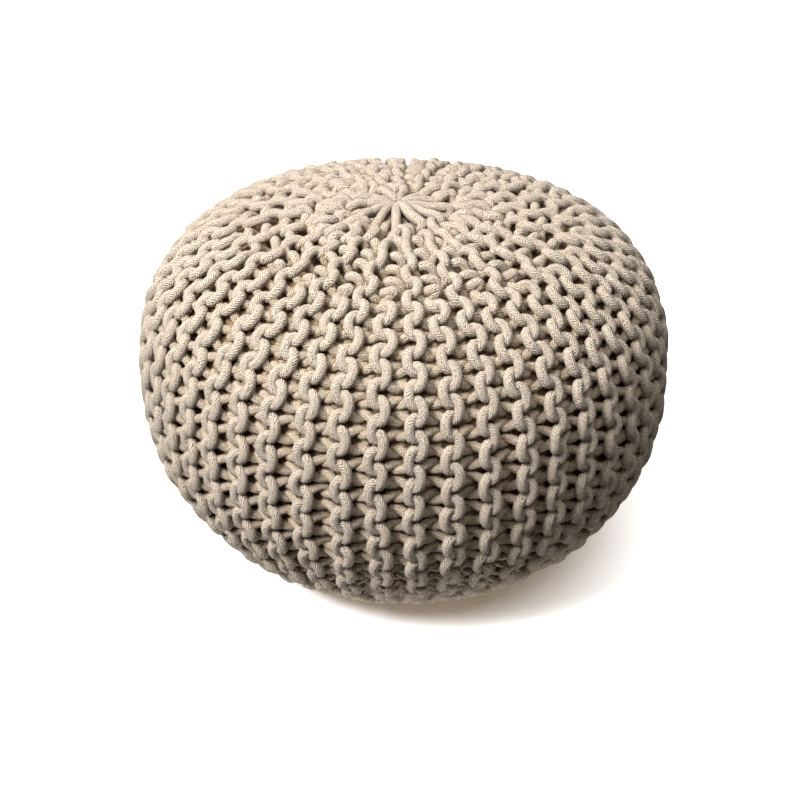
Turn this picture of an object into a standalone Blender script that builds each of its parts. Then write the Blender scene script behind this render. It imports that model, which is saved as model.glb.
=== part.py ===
"""A round knitted pouf: one filled cover, ribbed from end to end and drawn in at both ends.

The knitted ribs run from the gathered centre of the crown, over the side, to the gathered centre of
the foot. Metres, +Z up, the foot flat on Z = 0 and the middle of the pouf on the Z axis.
"""
import math

import bmesh
import bpy

# overall size
WIDTH = 0.508
HEIGHT = 0.356
WIDEST_HEIGHT = 0.180

# roundness of the outline: 2 is an ellipse, more is squarer at the shoulder
CROWN_SQUARENESS = 2.84
SIDE_SQUARENESS = 2.16
SIDE_DEPTH = 0.204          # how far under the widest line the sides would close without a floor

# the ribs
RIBS = 48
LINES_PER_RIB = 3           # two lines along the crest and one in the valley
VALLEY_DEPTH = 0.009
FIRST_VALLEY = math.radians(-1.25)
FOOT_PRESS_HEIGHT = 0.030   # valleys fade out below this height, where the foot is pressed flat

# the gathered ends
GATHER_RADII = (0.009, 0.024)
GATHER_DEPTH = 0.004
GATHER_SPREAD = 0.035
GATHER_OFFSET = (-0.006, 0.012)
FOOT_RADII = (0.104, 0.068, 0.038)

# outline steps
CROWN_STEPS = 14
FIRST_CROWN_ANGLE = 84.0
SIDE_STEPS = 9

# slight unevenness of the stuffing
FLANK_HEIGHT = 0.070
FLANK_REACH = 0.045
FLANK_HOLLOW = 0.023        # the -X side is this much slimmer low down
CROWN_SAG = 0.019           # the back of the crown is lower by this share of its height
SAG_DIRECTION = (0.15, 0.99)

MERGE_DISTANCE = 0.00001
NAME = "knitted_pouf"


def crown_point(angle):
    """Outline above the widest line: angle is 90 degrees over the middle and 0 at the side."""
    power = 2.0 / CROWN_SQUARENESS
    radius = WIDTH / 2 * math.cos(angle) ** power
    height = WIDEST_HEIGHT + (HEIGHT - WIDEST_HEIGHT) * math.sin(angle) ** power
    return radius, height


def side_point(angle):
    """Outline under the widest line: angle is 0 at the side and grows towards the floor."""
    power = 2.0 / SIDE_SQUARENESS
    radius = WIDTH / 2 * math.cos(angle) ** power
    height = WIDEST_HEIGHT - SIDE_DEPTH * math.sin(angle) ** power
    return radius, height


def outline():
    """Half section of the pouf, from the middle of the crown to the middle of the foot."""
    points = [(0.0, HEIGHT)]
    for radius in GATHER_RADII:
        points.append((radius, HEIGHT))
    for step in range(CROWN_STEPS):
        angle = math.radians(FIRST_CROWN_ANGLE) * (1 - step / CROWN_STEPS)
        points.append(crown_point(angle))
    floor_angle = math.asin((WIDEST_HEIGHT / SIDE_DEPTH) ** (SIDE_SQUARENESS / 2))
    for step in range(SIDE_STEPS):
        points.append(side_point(floor_angle * step / SIDE_STEPS))
    floor_radius, _ = side_point(floor_angle)
    for radius in (floor_radius, *FOOT_RADII, *reversed(GATHER_RADII), 0.0):
        points.append((radius, 0.0))
    return points


def revolve_outline():
    """Turn the half section about the Z axis into one closed form."""
    points = outline()
    mesh = bpy.data.meshes.new(NAME)
    out = (math.cos(FIRST_VALLEY), math.sin(FIRST_VALLEY))
    vertices = [(radius * out[0], radius * out[1], height) for radius, height in points]
    edges = [(index, index + 1) for index in range(len(points) - 1)]
    mesh.from_pydata(vertices, edges, [])
    pouf = bpy.data.objects.new(NAME, mesh)
    bpy.context.scene.collection.objects.link(pouf)
    screw = pouf.modifiers.new("Turn", "SCREW")
    screw.axis = "Z"
    screw.angle = math.tau
    screw.steps = RIBS * LINES_PER_RIB
    screw.render_steps = screw.steps
    screw.use_merge_vertices = True
    screw.merge_threshold = MERGE_DISTANCE
    bpy.context.view_layer.objects.active = pouf
    pouf.select_set(True)
    bpy.ops.object.modifier_apply(modifier=screw.name)
    return pouf


def close_poles(pouf):
    """Join the points that meet on the axis and turn every face outwards."""
    form = bmesh.new()
    form.from_mesh(pouf.data)
    bmesh.ops.remove_doubles(form, verts=form.verts, dist=MERGE_DISTANCE)
    bmesh.ops.recalc_face_normals(form, faces=form.faces)
    form.to_mesh(pouf.data)
    form.free()


def fade(value, reach):
    """Smooth 0 to 1 as value goes from 0 to reach."""
    share = min(max(value / reach, 0.0), 1.0)
    return share * share * (3 - 2 * share)


def shape_ribs(pouf):
    """Push every third line inwards as a valley, which leaves the two lines of each crest."""
    line_angle = math.tau / RIBS / LINES_PER_RIB
    normals = [vertex.normal.copy() for vertex in pouf.data.vertices]
    for vertex, normal in zip(pouf.data.vertices, normals):
        radius = math.hypot(vertex.co.x, vertex.co.y)
        azimuth = math.atan2(vertex.co.y, vertex.co.x)
        line = round((azimuth - FIRST_VALLEY) / line_angle) % LINES_PER_RIB
        if line == 0:
            strength = fade(radius, WIDTH / 2) * fade(vertex.co.z, FOOT_PRESS_HEIGHT)
            vertex.co -= normal * VALLEY_DEPTH * strength


def draw_in_ends(pouf):
    """Sink the two gathered centres and shift them a little off the middle."""
    for vertex in pouf.data.vertices:
        radius = math.hypot(vertex.co.x, vertex.co.y)
        pull = math.exp(-(radius / GATHER_SPREAD) ** 2)
        if vertex.co.z > WIDEST_HEIGHT:
            vertex.co.z -= GATHER_DEPTH * pull
        elif radius < FOOT_RADII[-1] - MERGE_DISTANCE:
            vertex.co.z += GATHER_DEPTH * pull
        vertex.co.x += GATHER_OFFSET[0] * pull
        vertex.co.y += GATHER_OFFSET[1] * pull


def settle_stuffing(pouf):
    """Slim the low left flank and let the back of the crown sag, as loose filling does."""
    for vertex in pouf.data.vertices:
        radius = math.hypot(vertex.co.x, vertex.co.y)
        if radius < MERGE_DISTANCE:
            continue
        left = max(-vertex.co.x / radius, 0.0)
        low = math.exp(-((vertex.co.z - FLANK_HEIGHT) / FLANK_REACH) ** 2)
        slimming = 1 - FLANK_HOLLOW * low * left ** 2
        back = (vertex.co.x * SAG_DIRECTION[0] + vertex.co.y * SAG_DIRECTION[1]) / radius
        sag = CROWN_SAG * max(back, 0.0) ** 3 * (vertex.co.z / HEIGHT) ** 2
        vertex.co.z *= 1 - sag * fade(radius, WIDTH / 4)
        vertex.co.x *= slimming
        vertex.co.y *= slimming


def set_size(pouf):
    """Bring the middle of the pouf onto the Z axis and give it exactly its stated size."""
    for axis, size in enumerate((WIDTH, WIDTH, HEIGHT)):
        values = [vertex.co[axis] for vertex in pouf.data.vertices]
        low, high = min(values), max(values)
        start = 0.0 if axis == 2 else -size / 2
        for vertex in pouf.data.vertices:
            vertex.co[axis] = start + (vertex.co[axis] - low) * size / (high - low)


def cotton_cord():
    """Undyed matt cotton cord."""
    material = bpy.data.materials.new("cotton_cord")
    material.use_nodes = True
    shader = material.node_tree.nodes["Principled BSDF"]
    shader.inputs["Base Color"].default_value = (0.66, 0.57, 0.45, 1.0)
    shader.inputs["Roughness"].default_value = 0.9
    return material


def knitted_pouf():
    """The whole cover, filled."""
    pouf = revolve_outline()
    close_poles(pouf)
    shape_ribs(pouf)
    draw_in_ends(pouf)
    settle_stuffing(pouf)
    set_size(pouf)
    pouf.data.shade_smooth()
    pouf.data.materials.append(cotton_cord())
    return pouf


def main():
    for item in list(bpy.data.objects):
        bpy.data.objects.remove(item, do_unlink=True)
    pouf = knitted_pouf()
    collection = bpy.data.collections.new(NAME)
    bpy.context.scene.collection.children.link(collection)
    collection.objects.link(pouf)
    bpy.context.scene.collection.objects.unlink(pouf)


main()
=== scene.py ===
"""A round knitted pouf of plaited cotton cord on a pale studio floor.

The cover is garter knitting, and its rows run from the gathered middle of the crown, over the side,
to the gathered middle of the foot. Each row is one cord led through all its loops, and every second
row is turned over, so the rows stand out two by two as ribs.
Metres, +Z up, the foot on Z = 0 and the middle of the pouf on the Z axis.
"""
import math

import bpy
import numpy as np
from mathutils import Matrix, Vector


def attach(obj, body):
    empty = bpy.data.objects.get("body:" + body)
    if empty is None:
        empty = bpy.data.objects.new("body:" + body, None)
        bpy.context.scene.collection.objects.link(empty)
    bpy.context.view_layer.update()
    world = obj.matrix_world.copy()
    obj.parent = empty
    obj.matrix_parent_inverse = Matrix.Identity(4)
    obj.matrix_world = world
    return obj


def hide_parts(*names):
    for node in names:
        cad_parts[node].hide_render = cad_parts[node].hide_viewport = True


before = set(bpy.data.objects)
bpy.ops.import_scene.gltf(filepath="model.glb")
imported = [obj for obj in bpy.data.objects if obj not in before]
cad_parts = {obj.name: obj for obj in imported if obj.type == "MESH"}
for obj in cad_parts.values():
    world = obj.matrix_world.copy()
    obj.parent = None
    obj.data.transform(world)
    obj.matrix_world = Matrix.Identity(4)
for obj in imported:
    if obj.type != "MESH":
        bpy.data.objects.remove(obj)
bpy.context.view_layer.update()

# outline of the pouf, as in the CAD
WIDTH = 0.508
HEIGHT = 0.356
MIDDLE = Vector((0, 0, HEIGHT / 2))
WIDEST_HEIGHT = 0.180
CROWN_SQUARENESS = 2.84
SIDE_SQUARENESS = 2.16
SIDE_DEPTH = 0.204
OUTLINE_STEP = 0.0005
CURVE_POINTS = 500
CORNER_ROUNDING = 0.010     # the corner between side and foot is rounded over this length both ways

# slight unevenness of the filling, as in the CAD
FLANK_HEIGHT = 0.070
FLANK_REACH = 0.045
FLANK_HOLLOW = 0.023
CROWN_SAG = 0.019
SAG_DIRECTION = (0.15, 0.99)

# the gathered ends
GATHER_OFFSET = (-0.006, 0.012)
GATHER_SPREAD = 0.035
GATHER_DEPTH = 0.002

# rows, ribs and stitches; places along a row are measured from the middle of the crown
ROWS = 96
RIBS = ROWS // 2
ROWS_PER_PANEL = 16
ROW_STEP = math.pi * WIDTH / ROWS
FIRST_RIB_ANGLE = math.radians(2.5)
STITCHES = 22
PITCH = 0.0305                  # length of a stitch on the side
FIRST_BAR = 0.0566              # place of the first bar at the front
END_STRETCH = 0.025             # the gathering draws the first stitches longer by this much in all,
END_STRETCH_REACH = 1.1         # most of it within this many stitches
LESS_DRAWN = 0.0134             # away from the front the same bar lies this much further out
DRAWN_COSINES = (0.74, 0.95)    # cosines of the angle from the front between which that changes
FOOT_STRETCH = 0.00004          # the lower stitches are a little longer, per stitch squared
FOOT_ARC = 0.40                 # beyond this place ribs crowd together for the foot,
FOOT_ROOM = 1.2                 # where they have this much more room than on the crown

# a loop: a bar along the row on the outside, and legs down to the rows on both sides
LOOP_SWING = 0.0144             # sideways, to both sides of the line between two rows
LOOP_DEPTH = 0.0060             # half the way down from the bars to the ends of the legs
BAR_LENGTHENING = 0.0062        # the ends of the bars are drawn out along the row by this much
MOST_STRETCH = 1.3              # loops are stretched with their stitches up to this much
ROW_START = 0.25                # a row's loops start and end this part of a stitch beyond its bars
CREST_DEPTH = 0.0047            # bars are pressed a little flat against the outside
COLUMN_REACH = 0.0060           # from the middle of a rib to its two columns of bars

# the cord
BAR_RADIUS = 0.0048
LEG_RADIUS = 0.0040
STRAND_RADIUS = 0.0044          # of the strands that are drawn together over the middle
STRAND_REACH = (0.020, 0.045)   # between these radii a strand takes on the radius of the cord,
STRAND_DIVE = (0.020, 0.060)    # between these it dives under the first bars,
LOOPS_START = (0.030, 0.062)    # between these its loops begin
STRAND_SWING = (0.040, 0.115)   # and between these their legs come to swing sideways in full,
LEAST_SWING = 0.12              # from this share of it
CORD_SIDES = 8
STEPS_PER_STITCH = 24
STRAND_STEP = 0.0025

# how ribs crowd towards the gathered ends
RIB_ROOM = 0.0255               # room that a rib needs to lie flat with both its columns
LEG_LENGTHENING = 0.3           # legs that can't swing sideways reach this much deeper
CROWN_REACH = (0.060, 0.160)    # between these radii the gathering is felt less and less
CROWN_RELIEF = 0.45             # the loops nearest the middle stand out this much more
BAR_SHORTENING = 0.45           # and their bars are drawn out this much less,
SHORTENING_REACH = (0.110, 0.235)   # growing to full length between these radii
LUMP_REACH = (0.135, 0.155)     # within these radii every second rib shows only as lumps,
LUMP_SHIFT = 0.25               # which lie this part of a stitch further on, at the ends of bars,
LUMP_SWING = 0.45               # reach this far to both sides, as a share of the room for a rib,
LUMP_SQUARING = 0.0040          # and are turned square across the rib by this much
# the radii between which ribs slip under their neighbours, and how many
SLIPPING = ((0.060, 0.090, 24), (0.045, 0.065, 12))
# per layer of ribs: the radii from and to which it sinks under the outside, and how far
SINKS = {
    "sunken": ((0.160, 0.125, 0.0028), (0.062, 0.045, 0.010)),
    "buried": ((0.168, 0.148, 0.0085), (0.148, 0.130, -0.0057), (0.062, 0.045, 0.010)),
    "tucked": ((0.060, 0.044, 0.008), (0.040, 0.026, 0.005)),
    "second": ((0.042, 0.026, 0.009),),
    "first": ((0.013, 0.003, 0.004),),
}
LUMPY_LAYERS = ("sunken", "buried")
STRAND_END = {"sunken": 0.044, "buried": 0.044, "tucked": 0.022, "second": 0.012, "first": 0.004}

# the unevenness of handwork
SEED = 12
STITCH_SLIP = 0.0011            # of each half stitch along the row,
STITCH_LIFT = 0.0007            # in depth
STITCH_SHIFT = 0.0007           # and sideways
CROWN_UNEVENNESS = 1.3          # the stitches nearest the middle slip this much more
START_SLIP = 0.0025             # of a whole row along itself, nearest the middle
STRAND_TURN = math.radians(2.2)     # of a strand round the middle
STRAND_SWELL = 0.10             # of a strand's radius
RIB_WANDER = 0.0012             # of a rib sideways
RIB_WAVES = ((0.052, 1.0), (0.027, 0.7))    # length of each wave per radian and its share

# the filled body under the knitting
BODY_DEPTH = 0.0150
BODY_DEPTH_AT_ENDS = 0.019
END_REACH = (0.120, 0.150)
BODY_SIDES = 96
BODY_RINGS = 72

# the plait of the cord
PLAIT_COLUMNS = 4.0
PLAIT_PITCH = 0.0023
PLAIT_SLANT = 1.5
PLAIT_WAVER = 1.6           # how unevenly its strands lie, in strands
PLAIT_START = 0.37          # each row's plait starts this much further on than the last
PLAIT_RELIEF = 0.0022       # depth of its bump
STRAND_ROUNDNESS = 1.3
MEETING_SHARPNESS = 5.0
MEETING_SHARE = 0.65        # how much lower the strands lie where they meet
PLAIT_CONTRAST = 0.7        # the plait's contrast in colour, as painted shade in its grooves
FLUFF_CONTRAST = 2.5
FLUFF_RELIEF = 0.8
STRAND_COVER = 0.32         # how much of the colour is the strands' own where the plait is lowest, the rest painted groove shade

# colours of the cotton, and painted shade for its gaps, the plait's grooves and the filled body
PALE_COTTON = (0.57, 0.490, 0.396, 1)
FULL_COTTON = (0.50, 0.424, 0.334, 1)
HANDLED_COTTON = (0.455, 0.374, 0.280, 1)
HANDLED_SHARE = 0.35
# painted shade: cord deep in the gaps between the ribs is warmer and darker
PAINTED_GAP_SHADE = (0.48, 0.340, 0.192, 1)
GAP_DEPTH = 0.016           # this far under the outside of the pouf the cord has the full painted shade of the gaps
GAP_SHARPNESS = 1.5
# painted shade in the grooves between the plait's strands
PAINTED_GROOVE_SHADE = (0.034, 0.016, 0.006, 1)
# painted shade: the dark colour of the filled body, which is seen only through the gaps
PAINTED_BODY_SHADE = ((0.080, 0.047, 0.022, 1), (0.19, 0.122, 0.066, 1))
HIDDEN_RELIEF = 0.002
LINT_SHARE = 0.3
SHEEN_TINT = (1.0, 0.78, 0.55, 1.0)

# spots per metre, levels of finer spots and their strength
BATCH_SPOTS = (9.0, 3.0, 0.55)
HANDLED_SPOTS = (45.0, 2.0, 0.5)
WAVER_SPOTS = (150.0, 2.0, 0.5)
BULGE_SPOTS = (160.0, 2.0, 0.5)
FLUFF_SPOTS = (650.0, 3.0, 0.8)
LINT_SPOTS = (900.0, 3.0, 0.7)
PAPER_SPOTS = (600.0, 2.0, 0.5)

# camera, as the photograph has it for a picture of 800 x 800
CAMERA_DISTANCE = 1.6
CAMERA_ELEVATION = math.radians(30.15)
CAMERA_AIM = Vector((-0.0034, -0.0157, 0.1516))
CAMERA_LENS = 73.8
SENSOR = 36.0

# the floor, and the disc of it that throws light up at the pouf
FLOOR_WIDTH = 8.0
DISC_RADIUS = 0.28
DISC_SIDES = 128
DISC_THICKNESS = 0.0002
PAPER_COLOURS = ((0.93, 0.925, 0.92, 1), (0.95, 0.945, 0.94, 1))
PAPER_RELIEF = 0.00005

# the light: the lamps in front are a little cool, and what the floor and the room give is warm
FLOOR_GLOW = (1.0, 0.79, 0.58, 1.0)
FLOOR_GLOW_STRENGTH = 0.20
ROOM_GLOW = (1.0, 0.78, 0.55, 1.0)
ROOM_GLOW_STRENGTH = 0.045
# per lamp: place, width, power and colour
LAMPS = {
    "key": ((-1.30, -1.09, 1.88), 1.0, 192, (0.98, 1.0, 1.04)),
    "overhead": ((0.15, -0.3, 2.2), 3.0, 116, (0.98, 1.0, 1.04)),
    "behind": ((0.9, 1.9, 1.1), 1.5, 16, (1.0, 1.0, 1.0)),
}


# ---------------------------------------------------------------- shader maths

class Shade:
    """A socket in a material, so that shader maths is written as plain expressions."""

    def __init__(self, tree, socket=None):
        self.tree = tree
        self.socket = socket

    def node(self, kind, settings=(), inputs=(), output=0):
        """Add a node: its settings first, then the values or links of its sockets."""
        made = self.tree.nodes.new(kind)
        for name, value in dict(settings).items():
            setattr(made, name, value)
        for name, value in dict(inputs).items():
            if isinstance(value, Shade):
                self.tree.links.new(value.socket, made.inputs[name])
            else:
                made.inputs[name].default_value = value
        return Shade(self.tree, made.outputs[output])

    def other(self, output):
        """Another output of the same node."""
        return Shade(self.tree, self.socket.node.outputs[output])

    def math(self, operation, first, second=0.0):
        return self.node("ShaderNodeMath", {"operation": operation}, {0: first, 1: second})

    def __add__(self, other):
        return self.math("ADD", self, other)

    def __radd__(self, other):
        return self.math("ADD", other, self)

    def __sub__(self, other):
        return self.math("SUBTRACT", self, other)

    def __rsub__(self, other):
        return self.math("SUBTRACT", other, self)

    def __mul__(self, other):
        return self.math("MULTIPLY", self, other)

    def __rmul__(self, other):
        return self.math("MULTIPLY", other, self)

    def __pow__(self, exponent):
        return self.math("POWER", self, exponent)

    def __abs__(self):
        return self.math("ABSOLUTE", self)

    def fraction(self):
        return self.math("FRACT", self)

    def between(self, low, high):
        """The colour between two colours at this value."""
        inputs = {0: self, 6: low, 7: high}
        return self.node("ShaderNodeMix", {"data_type": "RGBA"}, inputs, output=2)

    def spots(self, scale, detail, roughness):
        """Soft irregular spots at this place."""
        inputs = {"Vector": self, "Scale": scale, "Detail": detail, "Roughness": roughness}
        return self.node("ShaderNodeTexNoise", {}, inputs)


def cloth_material(name, roughness, sheen):
    """A matt cloth material with its shader, and a starting point for its shader maths."""
    material = bpy.data.materials.new(name)
    material.use_nodes = True
    shader = material.node_tree.nodes["Principled BSDF"]
    shader.inputs["Roughness"].default_value = roughness
    shader.inputs["Specular IOR Level"].default_value = 0.25
    shader.inputs["Sheen Weight"].default_value = sheen
    shader.inputs["Sheen Roughness"].default_value = 0.6
    shader.inputs["Sheen Tint"].default_value = SHEEN_TINT
    return material, shader, Shade(material.node_tree)


def lay_on(shader, colour, height, depth):
    """Give a shader its colour and a bump of the given depth."""
    inputs = {"Strength": 1.0, "Distance": depth, "Height": height}
    bump = height.node("ShaderNodeBump", {}, inputs)
    colour.tree.links.new(colour.socket, shader.inputs["Base Color"])
    colour.tree.links.new(bump.socket, shader.inputs["Normal"])


def plaited_cotton():
    """Undyed cotton cord with painted shade, warmer and darker deep in the gaps and dark in the
    plait's grooves: fine strands lie slantwise and meet along the cord.
    """
    material, shader, shade = cloth_material("plaited_cotton", roughness=0.92, sheen=0.25)
    place = shade.node("ShaderNodeTexCoord", output=3)
    uv = shade.node("ShaderNodeUVMap", {"uv_map": "cord"})
    along = uv.node("ShaderNodeSeparateXYZ", {}, {0: uv})
    around = along.other(1)
    column = (around * PLAIT_COLUMNS).fraction()
    slant = abs(column - 0.5) * 2.0
    waver = place.spots(*WAVER_SPOTS) * PLAIT_WAVER
    strand = (along * (1.0 / PLAIT_PITCH) + slant * PLAIT_SLANT + waver).fraction()
    ridge = 1.0 - abs(strand * 2.0 - 1.0) ** STRAND_ROUNDNESS
    meeting = 1.0 - abs(slant * 2.0 - 1.0) ** MEETING_SHARPNESS
    plait = ridge * (meeting * MEETING_SHARE + (1.0 - MEETING_SHARE))
    fluff = (place.spots(*FLUFF_SPOTS) - 0.5) * FLUFF_CONTRAST
    batch = place.spots(*BATCH_SPOTS).between(FULL_COTTON, PALE_COTTON)
    handled = (place.spots(*HANDLED_SPOTS) * HANDLED_SHARE).between(batch, HANDLED_COTTON)
    # painted shade: the deeper the cord lies, the more it takes the warm dark colour of the gaps
    depth = shade.node("ShaderNodeAttribute", {"attribute_name": "depth"}, output=2)
    gap_shade = (depth * (1.0 / GAP_DEPTH)) ** GAP_SHARPNESS
    strands = gap_shade.between(handled, PAINTED_GAP_SHADE)
    # painted shade in the plait's grooves, mixed with random fluff in the tone
    cover = plait * PLAIT_CONTRAST + fluff + STRAND_COVER
    colour = cover.between(PAINTED_GROOVE_SHADE, strands)
    lay_on(shader, colour, plait + fluff * FLUFF_RELIEF, PLAIT_RELIEF)
    return material


def painted_shade_cotton():
    """Painted shade: the same cotton as it looks deep between the ribs, dull and dark."""
    material, shader, shade = cloth_material("painted_shade_cotton", roughness=0.97, sheen=0.0)
    place = shade.node("ShaderNodeTexCoord", output=3)
    bulges = place.spots(*BULGE_SPOTS)
    lint = place.spots(*LINT_SPOTS) * LINT_SHARE
    colour = (bulges * (1.0 - LINT_SHARE) + lint).between(*PAINTED_BODY_SHADE)
    lay_on(shader, colour, bulges + lint, HIDDEN_RELIEF)
    return material


def studio_floor():
    """Pale matt paper."""
    material, shader, shade = cloth_material("studio_floor", roughness=0.9, sheen=0.0)
    grain = shade.node("ShaderNodeTexCoord", output=3).spots(*PAPER_SPOTS)
    lay_on(shader, grain.between(*PAPER_COLOURS), grain, PAPER_RELIEF)
    shader.inputs["Emission Color"].default_value = FLOOR_GLOW
    shader.inputs["Emission Strength"].default_value = FLOOR_GLOW_STRENGTH
    return material


# ---------------------------------------------------------------- the studio

def add_camera():
    """The camera at the photograph's height and distance."""
    camera = bpy.data.objects.new("camera", bpy.data.cameras.new("camera"))
    bpy.context.scene.collection.objects.link(camera)
    back = Vector((0, -math.cos(CAMERA_ELEVATION), math.sin(CAMERA_ELEVATION)))
    camera.location = MIDDLE + CAMERA_DISTANCE * back
    camera.rotation_euler = (CAMERA_AIM - camera.location).to_track_quat("-Z", "Y").to_euler()
    camera.data.lens = CAMERA_LENS
    camera.data.sensor_width = SENSOR
    bpy.context.scene.camera = camera


def add_floor():
    """A wide pale floor, with a disc round the foot that alone throws light up at the pouf."""
    paper = studio_floor()
    bpy.ops.object.select_all(action="DESELECT")
    bpy.ops.mesh.primitive_plane_add(size=FLOOR_WIDTH, location=(0, 0, -DISC_THICKNESS))
    wide = bpy.context.object
    wide.name = "floor"
    wide.visible_diffuse = False
    bpy.ops.mesh.primitive_circle_add(vertices=DISC_SIDES, radius=DISC_RADIUS, fill_type="NGON")
    disc = bpy.context.object
    disc.name = "floor_disc"
    for floor in (wide, disc):
        floor.data.materials.append(paper)


def add_lamps():
    """Square soft lamps turned towards the middle of the pouf."""
    for name, (place, width, power, colour) in LAMPS.items():
        lamp = bpy.data.objects.new(name, bpy.data.lights.new(name, "AREA"))
        lamp.data.size = width
        lamp.data.energy = power
        lamp.data.color = colour
        lamp.location = place
        lamp.rotation_euler = (MIDDLE - Vector(place)).to_track_quat("-Z", "Y").to_euler()
        bpy.context.scene.collection.objects.link(lamp)


def add_room():
    """The faint warm light of the room, and plain colours in the picture."""
    world = bpy.data.worlds.new("room")
    world.use_nodes = True
    background = world.node_tree.nodes["Background"]
    background.inputs["Color"].default_value = ROOM_GLOW
    background.inputs["Strength"].default_value = ROOM_GLOW_STRENGTH
    bpy.context.scene.world = world
    bpy.context.scene.view_settings.view_transform = "Standard"


# ---------------------------------------------------------------- the shape of the pouf

def fade(value, start, end):
    """Smooth 0 to 1 as value goes from start to end."""
    share = np.clip((value - start) / (end - start), 0.0, 1.0)
    return share * share * (3 - 2 * share)


def curve_points(angles, depth, squareness):
    """Points of a rounded quarter from the widest line, upwards for a positive depth."""
    power = 2.0 / squareness
    radius = WIDTH / 2 * np.clip(np.cos(angles), 0, 1) ** power
    height = WIDEST_HEIGHT + depth * np.sin(angles) ** power
    return np.stack([radius, height], 1)


def round_off(values, steps, odd):
    """Running mean, with the line carried on past its ends."""
    padded = np.pad(values, steps, "reflect", reflect_type="odd" if odd else "even")
    return np.convolve(padded, np.ones(2 * steps + 1) / (2 * steps + 1), "valid")


def make_outline():
    """Half section from the crown's middle to the foot's: arc, radius, height and slope."""
    crown_angles = np.radians(np.linspace(90, 0, CURVE_POINTS))
    crown = curve_points(crown_angles, HEIGHT - WIDEST_HEIGHT, CROWN_SQUARENESS)
    floor_angle = math.asin((WIDEST_HEIGHT / SIDE_DEPTH) ** (SIDE_SQUARENESS / 2))
    side_angles = np.linspace(0, floor_angle, CURVE_POINTS)
    side = curve_points(side_angles, -SIDE_DEPTH, SIDE_SQUARENESS)
    points = np.concatenate([crown, side[1:], [(0.0, 0.0)]])
    arc = np.concatenate([[0], np.cumsum(np.hypot(*np.diff(points, axis=0).T))])
    even = np.arange(0, arc[-1], OUTLINE_STEP)
    steps = int(CORNER_ROUNDING / OUTLINE_STEP)
    radius = round_off(np.interp(even, arc, points[:, 0]), steps, odd=True)
    height = round_off(np.interp(even, arc, points[:, 1]), steps, odd=False)
    slope = np.stack([np.gradient(radius), np.gradient(height)], 1)
    slope /= np.linalg.norm(slope, axis=1, keepdims=True)
    return even, radius, height, slope


ARC, RADIUS, HEIGHT_AT, SLOPE = make_outline()


def radius_at(arc):
    return np.interp(arc, ARC, RADIUS)


def place_under(arc, azimuth, depth):
    """Points a given depth under the outside of the pouf."""
    outwards = -np.interp(arc, ARC, SLOPE[:, 1])
    upwards = np.interp(arc, ARC, SLOPE[:, 0])
    radius = radius_at(arc) - depth * outwards
    height = np.interp(arc, ARC, HEIGHT_AT) - depth * upwards
    return settle(np.stack([radius * np.cos(azimuth), radius * np.sin(azimuth), height], 1))


def settle(points):
    """Slim the low left flank, let the back of the crown sag and draw in both ends."""
    x, y, z = points.T
    radius = np.maximum(np.hypot(x, y), OUTLINE_STEP)
    low = np.exp(-((z - FLANK_HEIGHT) / FLANK_REACH) ** 2)
    slimming = 1 - FLANK_HOLLOW * low * np.maximum(-x / radius, 0) ** 2
    back = np.maximum((x * SAG_DIRECTION[0] + y * SAG_DIRECTION[1]) / radius, 0)
    sag = CROWN_SAG * back ** 3 * (z / HEIGHT) ** 2 * fade(radius, 0, WIDTH / 4)
    pull = np.exp(-(radius / GATHER_SPREAD) ** 2)
    inwards = np.where(z > WIDEST_HEIGHT, -GATHER_DEPTH, GATHER_DEPTH)
    return np.stack([
        x * slimming + GATHER_OFFSET[0] * pull,
        y * slimming + GATHER_OFFSET[1] * pull,
        z * (1 - sag) + inwards * pull,
    ], 1)


# ---------------------------------------------------------------- the knitting

def stitch_arc(count, drawn=1.0):
    """Arc length from the middle of the crown, at a count of bars along a right-hand row."""
    stretch = END_STRETCH * (1 - np.exp(-np.maximum(count, 0) / END_STRETCH_REACH))
    foot = FOOT_STRETCH * np.maximum(count - STITCHES / 2, 0) ** 2
    less_drawn = LESS_DRAWN * (1 - drawn) * (1 - fade(count, 0, 1))
    return FIRST_BAR + PITCH * count + stretch + less_drawn + foot


def rib_angle(rib):
    """Azimuth of the middle of a rib."""
    return FIRST_RIB_ANGLE + math.tau * rib / RIBS


def layer_of(row):
    """Which layer a row belongs to where the ribs crowd together."""
    rib = row // 2
    if rib % 2 == 1:
        return "sunken" if row % 2 == 0 else "buried"
    if rib % 4 == 2:
        return "tucked"
    return "first" if row % 2 == 0 else "second"


def room(arc):
    """Radius of a crown ring with as much room for the ribs as there is at this place."""
    radius = np.maximum(radius_at(arc), STRAND_END["first"])
    return radius * np.where(arc > FOOT_ARC, FOOT_ROOM, 1.0)


def sink(layer, ring):
    """How far a layer of ribs lies under the outside of the pouf."""
    return sum(depth * fade(ring, start, end) for start, end, depth in SINKS[layer])


def share_of_room(layer, ring):
    """Room for one rib of a layer, as a share of the room that it has at the widest line."""
    ribs = RIBS
    if layer not in LUMPY_LAYERS:
        ribs = RIBS - sum(count * (1 - fade(ring, *radii)) for *radii, count in SLIPPING)
    return ring / (WIDTH / 2) * RIBS / ribs


def leg_spread(layer, ring):
    """How far the legs of a layer swing sideways, as a share of their swing on the side."""
    swing = LEAST_SWING + (1 - LEAST_SWING) * fade(ring, *STRAND_SWING)
    return swing * np.minimum(share_of_room(layer, ring), 1)


def lump_share(layer, ring):
    """1 where a row shows only as lumps between its neighbours, 0 where its loops lie whole."""
    return (1 - fade(ring, *LUMP_REACH)) * (layer in LUMPY_LAYERS)


def uneven(chance, count, amount):
    """A value per half stitch, joined smoothly along the row."""
    knots = np.arange(-1, 2 * STITCHES + 3) / 2
    return amount * np.interp(count, knots, chance.normal(0, 1, len(knots)))


def rib_wander(rib, arc):
    """Sideways wander of a rib."""
    chance = np.random.default_rng((SEED, rib))
    starts = chance.uniform(0, math.tau, len(RIB_WAVES))
    sway = [share * np.sin(arc / length + start)
            for (length, share), start in zip(RIB_WAVES, starts)]
    return RIB_WANDER * sum(sway)


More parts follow.
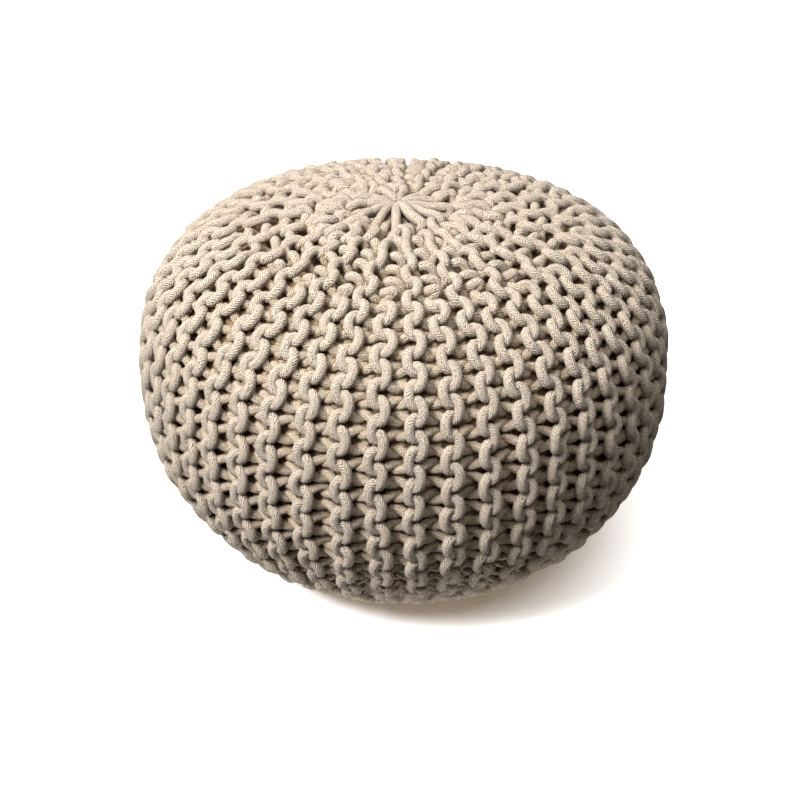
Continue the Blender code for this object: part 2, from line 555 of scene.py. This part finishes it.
def row_course(row, chance):
    """Count of bars and arc length along a row: a strand, the loops and a strand again."""
    layer = layer_of(row)
    drawn = float(fade(-math.sin(rib_angle(row // 2)), *DRAWN_COSINES))
    first = -ROW_START - (0 if drawn > 0.5 else 1)
    last = STITCHES + ROW_START - row % 2
    count = np.linspace(first, last, round((last - first) * STEPS_PER_STITCH) + 1)
    turn = math.tau * count
    place = count + (row % 2) / 2
    lumps = lump_share(layer, room(stitch_arc(place, drawn)))
    place += LUMP_SHIFT * lumps
    arc = stitch_arc(place, drawn)
    near_middle = 1 - fade(radius_at(arc), *CROWN_REACH)
    stretch = (stitch_arc(place + 0.5, drawn) - stitch_arc(place - 0.5, drawn)) / PITCH
    bars = BAR_LENGTHENING * np.sin(2 * turn) * np.minimum(stretch, MOST_STRETCH)
    bars *= 1 - BAR_SHORTENING * (1 - fade(room(arc), *SHORTENING_REACH))
    arc += bars * (1 - lumps) - LUMP_SQUARING * np.sin(turn) * lumps
    arc += chance.normal(0, START_SLIP) * near_middle
    arc += uneven(chance, count, STITCH_SLIP * (1 + CROWN_UNEVENNESS * near_middle))
    start = np.arange(STRAND_END[layer], arc[0], STRAND_STEP)
    end = np.arange(ARC[-1] - STRAND_END[layer], arc[-1], -STRAND_STEP)[::-1]
    count = np.concatenate([np.full(len(start), first), count, np.full(len(end), last)])
    return count, np.concatenate([start, arc, end])


def loop_offset(row, turn, ring):
    """How far a row's cord lies to the side of the middle of its rib, at a turn of its loops."""
    layer = layer_of(row)
    side = 1 if row % 2 == 0 else -1
    loop = side * (LOOP_SWING * np.cos(turn) * fade(ring, *LOOPS_START) - ROW_STEP / 2)
    column = np.clip(loop, -COLUMN_REACH, COLUMN_REACH)
    rib_width = 2 * ROW_STEP * share_of_room(layer, ring)
    columns_apart = np.minimum(rib_width / RIB_ROOM, 1)
    whole = column * columns_apart + (loop - column) * leg_spread(layer, ring)
    lump = LUMP_SWING * rib_width * np.sin(turn)
    return whole + (lump - whole) * lump_share(layer, ring)


def loop_depth(layer, turn, ring):
    """How deep a row's cord lies under the outside of the pouf, at a turn of its loops."""
    near_middle = 1 - fade(ring, *CROWN_REACH)
    relief = 1 + LEG_LENGTHENING * (1 - leg_spread(layer, ring)) + CROWN_RELIEF * near_middle
    dip = LOOP_DEPTH * (1 - np.cos(turn)) * relief
    return CREST_DEPTH + dip * fade(ring, *STRAND_DIVE) + sink(layer, ring)


def row_line(row):
    """Centre line of a row's cord, its radius, its depth and the way out of the pouf."""
    chance = np.random.default_rng((SEED, row, ROWS))
    rib = row // 2
    count, arc = row_course(row, chance)
    turn = math.tau * count
    radius = np.maximum(radius_at(arc), STRAND_END["first"])
    wander = rib_wander(rib, arc) + uneven(chance, count, STITCH_SHIFT)
    offset = loop_offset(row, turn, room(arc)) + wander * fade(radius, 0, CROWN_REACH[0])
    astray = chance.normal(0, STRAND_TURN) * (1 - fade(radius, 0, CROWN_REACH[1]))
    azimuth = rib_angle(rib) + offset / radius + astray
    depth = loop_depth(layer_of(row), turn, room(arc)) + uneven(chance, count, STITCH_LIFT)
    cord = LEG_RADIUS + (BAR_RADIUS - LEG_RADIUS) * (1 + np.cos(turn)) / 2
    strand = STRAND_RADIUS * (1 + chance.normal(0, STRAND_SWELL))
    thickness = strand + (cord - strand) * fade(radius, *STRAND_REACH)
    line = place_under(arc, azimuth, depth)
    outwards = (place_under(arc, azimuth, 0.0) - line) / depth[:, None]
    return line, thickness, depth, outwards


def carried_across(points):
    """Directions along and across a line at each point, the second carried on without twisting."""
    along = np.gradient(points, axis=0)
    along /= np.linalg.norm(along, axis=1, keepdims=True)
    across = np.empty_like(points)
    direction = np.cross(along[0], (0.0, 0.0, 1.0))
    for index, heading in enumerate(along):
        direction = direction - heading * direction.dot(heading)
        direction = direction / math.sqrt(direction.dot(direction))
        across[index] = direction
    return along, across


def cord_rings(points, thickness):
    """Rings of points round a line."""
    along, across = carried_across(points)
    up = np.cross(along, across)
    turn = np.arange(CORD_SIDES) * math.tau / CORD_SIDES
    ring = np.cos(turn)[None, :, None] * across[:, None] + np.sin(turn)[None, :, None] * up[:, None]
    rings = points[:, None] + ring * thickness[:, None, None]
    rings[:, :, 2] = np.maximum(rings[:, :, 2], 0.0)
    return rings


def cord_faces(count, first_point):
    """Faces of one closed tube, with a UV map: length in steps and share of the way round."""
    step, side = np.meshgrid(np.arange(count - 1), np.arange(CORD_SIDES), indexing="ij")
    step, side = step.ravel(), side.ravel()
    after = (side + 1) % CORD_SIDES
    corners = [(step, side), (step, after), (step + 1, after), (step + 1, side)]
    faces = np.stack([first_point + a * CORD_SIDES + b for a, b in corners], 1)
    steps = np.stack([step, step, step + 1, step + 1], 1)
    sides = np.stack([side, side + 1, side + 1, side], 1)
    return faces, steps, sides


def knit_panel(name, rows):
    """One panel of the cover: neighbouring rows, each a round cord, in one mesh."""
    points, faces, uv, caps, depths = [], [], [], [], []
    total = 0
    for row in rows:
        line, thickness, depth, outwards = row_line(row)
        rings = cord_rings(line, thickness)
        rise = ((rings - line[:, None]) * outwards[:, None]).sum(axis=2)
        length = np.concatenate([[0], np.cumsum(np.linalg.norm(np.diff(line, axis=0), axis=1))])
        quads, steps, sides = cord_faces(len(line), total)
        points.append(rings.reshape(-1, 3))
        faces.append(quads)
        depths.append((depth[:, None] - rise).ravel())
        uv.append(np.stack([length[steps] + row * PLAIT_START, sides / CORD_SIDES], 2).reshape(-1, 2))
        end = total + (len(line) - 1) * CORD_SIDES
        caps.append([total + side for side in reversed(range(CORD_SIDES))])
        caps.append([end + side for side in range(CORD_SIDES)])
        total += len(line) * CORD_SIDES
    mesh = bpy.data.meshes.new(name)
    mesh.from_pydata(np.concatenate(points).tolist(), [], np.concatenate(faces).tolist() + caps)
    uv.append(np.zeros((len(caps) * CORD_SIDES, 2)))
    mesh.uv_layers.new(name="cord").data.foreach_set("uv", np.concatenate(uv).ravel())
    sunk = mesh.attributes.new("depth", "FLOAT", "POINT")
    sunk.data.foreach_set("value", np.concatenate(depths))
    mesh.shade_smooth()
    panel = bpy.data.objects.new(name, mesh)
    bpy.context.scene.collection.objects.link(panel)
    return panel


# ---------------------------------------------------------------- the filled body

def filled_body():
    """The filled body under the knitting, flat on the floor side like the knitting itself."""
    arc = np.linspace(0, ARC[-1], BODY_RINGS + 1)[1:-1]
    turn = np.arange(BODY_SIDES) * math.tau / BODY_SIDES
    at_end = 1 - fade(radius_at(arc), *END_REACH)
    depth = BODY_DEPTH + (BODY_DEPTH_AT_ENDS - BODY_DEPTH) * at_end
    rings = [place_under(np.full(BODY_SIDES, a), turn, d) for a, d in zip(arc, depth)]
    poles = [place_under(np.array([a]), np.zeros(1), BODY_DEPTH_AT_ENDS) for a in (0, ARC[-1])]
    points = np.concatenate(poles + rings)
    faces = []
    for side in range(BODY_SIDES):
        after = (side + 1) % BODY_SIDES
        faces.append((0, 2 + side, 2 + after))
        for ring in range(len(arc) - 1):
            here = 2 + ring * BODY_SIDES
            below = here + BODY_SIDES
            faces.append((here + side, below + side, below + after, here + after))
        last = 2 + (len(arc) - 1) * BODY_SIDES
        faces.append((1, last + after, last + side))
    mesh = bpy.data.meshes.new("filled_body")
    mesh.from_pydata(points.tolist(), [], faces)
    mesh.shade_smooth()
    body = bpy.data.objects.new("filled_body", mesh)
    bpy.context.scene.collection.objects.link(body)
    return body


def stand_for_pouf(piece, material):
    """Finish a piece of the pouf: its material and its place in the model."""
    piece.data.materials.append(material)
    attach(piece, "root")
    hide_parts("knitted_pouf")


def make_pouf():
    """The filled body and the panels of knitting round it."""
    body = filled_body()
    # painted shade: the filled body is coloured as dark shaded cotton
    stand_for_pouf(body, painted_shade_cotton())
    cotton = plaited_cotton()
    for number, first in enumerate(range(0, ROWS, ROWS_PER_PANEL), 1):
        panel = knit_panel(f"knit_panel_{number}", range(first, first + ROWS_PER_PANEL))
        stand_for_pouf(panel, cotton)


add_camera()
add_floor()
add_lamps()
add_room()
make_pouf()
